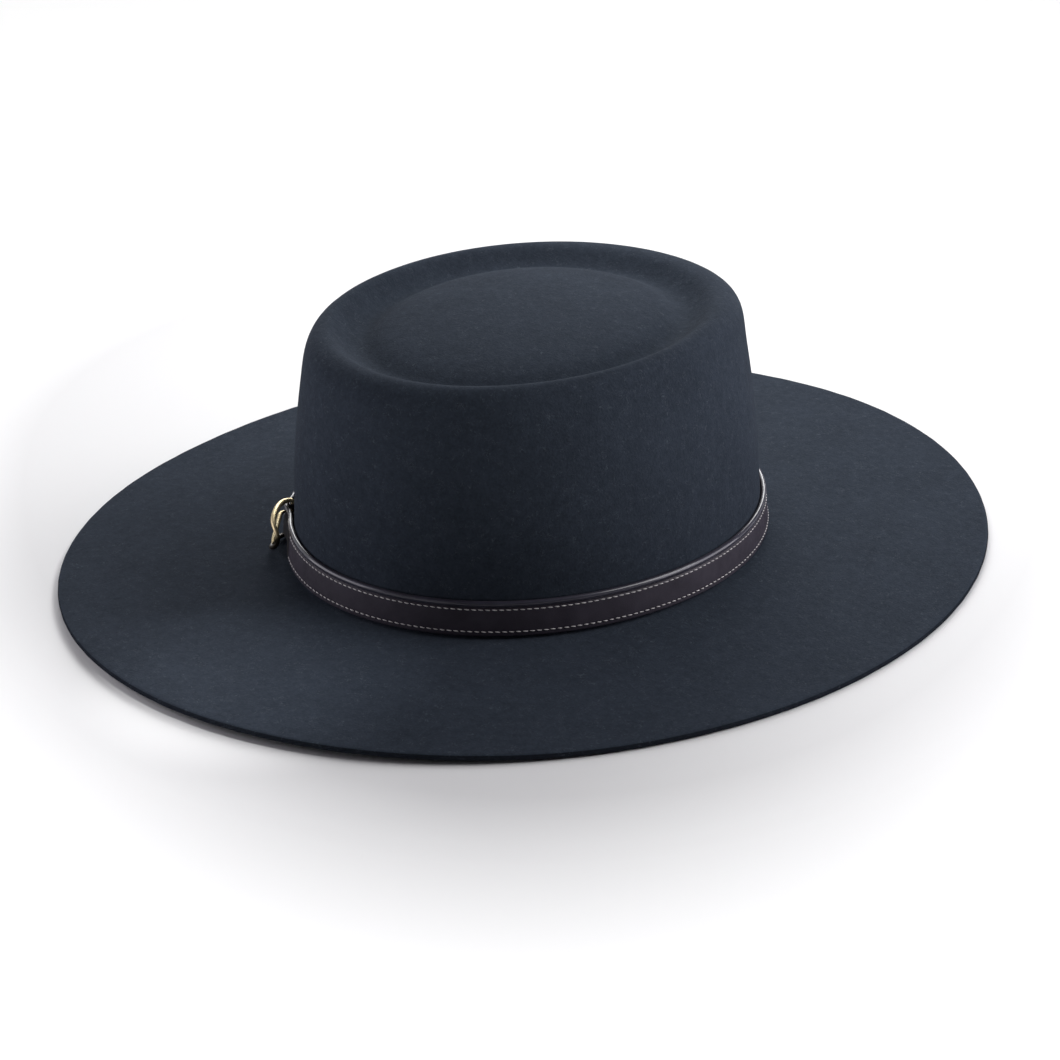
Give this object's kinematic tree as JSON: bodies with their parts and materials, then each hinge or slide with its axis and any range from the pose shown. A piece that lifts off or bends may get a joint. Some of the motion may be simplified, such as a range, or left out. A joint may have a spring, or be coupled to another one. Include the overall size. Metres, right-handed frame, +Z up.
{
  "type": "wide-brim hat",
  "caption": "Wide-brim felt hat with a grooved, gently domed oval crown top, a nearly flat raw-edge brim and a stitched leather band with a small brass buckle.",
  "frame": {"origin": "middle of the brim's outline, on the surface that the brim rests on", "axes": "+Y runs along the long axis of the head opening towards the front, +X towards the wearer's right, +Z up through the crown"},
  "size_m": [0.3682, 0.421, 0.1098],
  "materials": {
    "felt": "matt wool felt with a short nap",
    "leather": "smooth leather, semi-gloss along the rolled top edge",
    "brass": "polished, slightly aged"
  },
  "bodies": {
    "root": {"felt_body": "felt", "band_strap": "leather", "keeper_loop": "leather", "buckle_frame": "brass", "buckle_prong": "brass"}
  },
  "joints": []
}
